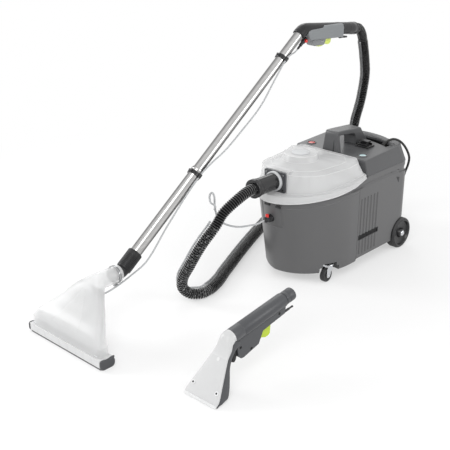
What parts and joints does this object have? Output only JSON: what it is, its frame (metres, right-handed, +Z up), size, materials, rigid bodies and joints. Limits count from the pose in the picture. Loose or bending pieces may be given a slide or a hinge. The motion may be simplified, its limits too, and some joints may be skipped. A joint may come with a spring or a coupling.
{
  "type": "carpet cleaner",
  "caption": "Wheeled spray-extraction carpet cleaner with lift-out tank, suction hose, floor wand and a hand tool for upholstery.",
  "frame": {"origin": "on the floor, under the middle of the box round the machine, the wand and the hand tool, cords left out", "axes": "+Z up; the machine's front faces -Y and its left side +X; the wand leans along +Y"},
  "size_m": [0.7124, 1.492, 0.7708],
  "materials": {
    "grey_body": "fine matte texture",
    "dark_body": "fine matte texture",
    "clear_plastic": "translucent, smooth",
    "black_plastic": "semi-gloss",
    "slate_plastic": "satin",
    "grey_grip": "satin",
    "lime_plastic": "satin",
    "red_plastic": "gloss",
    "pale_grey": "satin",
    "green_cap": "translucent",
    "tub_white": "translucent, matte",
    "rubber": "matte",
    "hose_rubber": "ribbed, semi-gloss",
    "tyre": "matte",
    "chrome": "polished",
    "steel": "brushed"
  },
  "bodies": {
    "machine": {"tank_housing": "grey_body", "machine_coupling": "black_plastic", "rear_axle": "chrome", "side_vent_left": "black_plastic", "side_vent_right": "black_plastic", "top_cover": "dark_body", "carry_handle": "dark_body", "accessory_bracket": "black_plastic", "vacuum_motor": "slate_plastic", "spray_pump": "slate_plastic", "cable_gland": "rubber", "mains_cord": "rubber", "mains_coil": "rubber", "mains_plug": "rubber", "suction_hose_front": "hose_rubber", "spray_hose": "clear_plastic"},
    "lid": {"lid": "clear_plastic", "port_plate": "dark_body", "port_screw_upper_left": "steel", "port_screw_upper_right": "steel", "port_screw_lower_left": "steel", "port_screw_lower_right": "steel", "port_ring": "pale_grey", "hose_connector": "black_plastic", "float_cage": "tub_white"},
    "dirty_tank": {"dirty_tank": "tub_white"},
    "float_disc": {"float_disc": "red_plastic"},
    "turbine_rotor": {"turbine_rotor": "steel"},
    "rear_wheel_left": {"rear_wheel_left": "tyre"},
    "rear_wheel_right": {"rear_wheel_right": "tyre"},
    "caster_fork_left": {"caster_fork_left": "chrome"},
    "caster_fork_right": {"caster_fork_right": "chrome"},
    "caster_wheel_left": {"caster_wheel_left": "tyre"},
    "caster_wheel_right": {"caster_wheel_right": "tyre"},
    "vacuum_switch": {"vacuum_switch": "green_cap"},
    "spray_switch": {"spray_switch": "red_plastic"},
    "machine_coupling_button": {"machine_coupling_button": "red_plastic"},
    "wand": {"suction_hose_rear": "hose_rubber", "suction_lip": "slate_plastic", "nozzle_lip": "clear_plastic", "floor_nozzle": "clear_plastic", "nozzle_jet": "slate_plastic", "hose_clamp": "steel", "wand_cuff": "black_plastic", "wand_lower_tube": "chrome", "wand_upper_tube": "chrome", "tube_clip_low": "slate_plastic", "tube_clip_high": "pale_grey", "wand_grip": "black_plastic", "trigger_housing": "grey_grip", "wand_coupling": "black_plastic", "hose_cuff": "black_plastic", "wand_spray_hose": "clear_plastic"},
    "wand_trigger": {"wand_trigger": "lime_plastic"},
    "wand_coupling_button": {"wand_coupling_button": "red_plastic"},
    "hand_tool": {"hand_nozzle": "clear_plastic", "hand_shell": "slate_plastic", "hand_tube": "slate_plastic", "hand_housing": "slate_plastic"},
    "hand_trigger": {"hand_trigger": "lime_plastic"}
  },
  "joints": [
    {"name": "lid_lift", "type": "slide", "parent": "machine", "child": "lid", "axis": [0, 0, 1], "range_m": [0, 0.15], "deforming": ["suction_hose_front"]},
    {"name": "dirty_tank_lift", "type": "slide", "parent": "machine", "child": "dirty_tank", "axis": [0, 0, 1], "range_m": [0, 0.075]},
    {"name": "float_rise", "type": "slide", "parent": "lid", "child": "float_disc", "axis": [0, 0, 1], "range_m": [0, 0.04]},
    {"name": "turbine_spin", "type": "hinge", "parent": "machine", "child": "turbine_rotor", "pos_m": [-0.039, 0.483, 0.25], "axis": [0, 0, 1], "continuous": true},
    {"name": "rear_wheel_left_spin", "type": "hinge", "parent": "machine", "child": "rear_wheel_left", "pos_m": [0.1095, 0.586, 0.0546], "axis": [1, 0, 0], "continuous": true},
    {"name": "rear_wheel_right_spin", "type": "hinge", "parent": "machine", "child": "rear_wheel_right", "pos_m": [-0.1875, 0.586, 0.0546], "axis": [1, 0, 0], "continuous": true},
    {"name": "caster_left_swivel", "type": "hinge", "parent": "machine", "child": "caster_fork_left", "pos_m": [0.093, 0.203, 0.06], "axis": [0, 0, 1], "continuous": true},
    {"name": "caster_wheel_left_spin", "type": "hinge", "parent": "caster_fork_left", "child": "caster_wheel_left", "pos_m": [0.093, 0.19, 0.0225], "axis": [1, 0, 0], "continuous": true},
    {"name": "caster_right_swivel", "type": "hinge", "parent": "machine", "child": "caster_fork_right", "pos_m": [-0.135, 0.203, 0.06], "axis": [0, 0, 1], "continuous": true},
    {"name": "caster_wheel_right_spin", "type": "hinge", "parent": "caster_fork_right", "child": "caster_wheel_right", "pos_m": [-0.135, 0.19, 0.0225], "axis": [1, 0, 0], "continuous": true},
    {"name": "vacuum_switch_press", "type": "slide", "parent": "machine", "child": "vacuum_switch", "axis": [0, 0, -1], "range_m": [0, 0.0018], "stiffness_N_per_m": 600},
    {"name": "spray_switch_press", "type": "slide", "parent": "machine", "child": "spray_switch", "axis": [0, 0, -1], "range_m": [0, 0.0018], "stiffness_N_per_m": 600},
    {"name": "machine_coupling_press", "type": "slide", "parent": "machine", "child": "machine_coupling_button", "axis": [0, 0, -1], "range_m": [0, 0.0014], "stiffness_N_per_m": 300},
    {"name": "wand_tilt", "type": "hinge", "parent": "machine", "child": "wand", "pos_m": [-0.175, -0.659, 0], "axis": [1, 0, 0], "range_deg": [0, 8]},
    {"name": "wand_trigger_pull", "type": "hinge", "parent": "wand", "child": "wand_trigger", "pos_m": [-0.175, 0.46, 0.704], "axis": [1, 0, 0], "range_deg": [0, 7], "stiffness_Nm_per_rad": 1},
    {"name": "wand_coupling_press", "type": "slide", "parent": "wand", "child": "wand_coupling_button", "axis": [-1, 0, 0], "range_m": [0, 0.0014], "stiffness_N_per_m": 300},
    {"name": "hand_tool_lift", "type": "slide", "parent": "machine", "child": "hand_tool", "axis": [0, 0, 1], "range_m": [0, 0.15]},
    {"name": "hand_trigger_pull", "type": "hinge", "parent": "hand_tool", "child": "hand_trigger", "pos_m": [0.274, -0.37, 0.096], "axis": [1, 0, 0], "range_deg": [0, 7], "stiffness_Nm_per_rad": 1}
  ],
  "couplings": [
    {"joint": "dirty_tank_lift", "follows": "lid_lift", "ratio": 0.5}
  ]
}
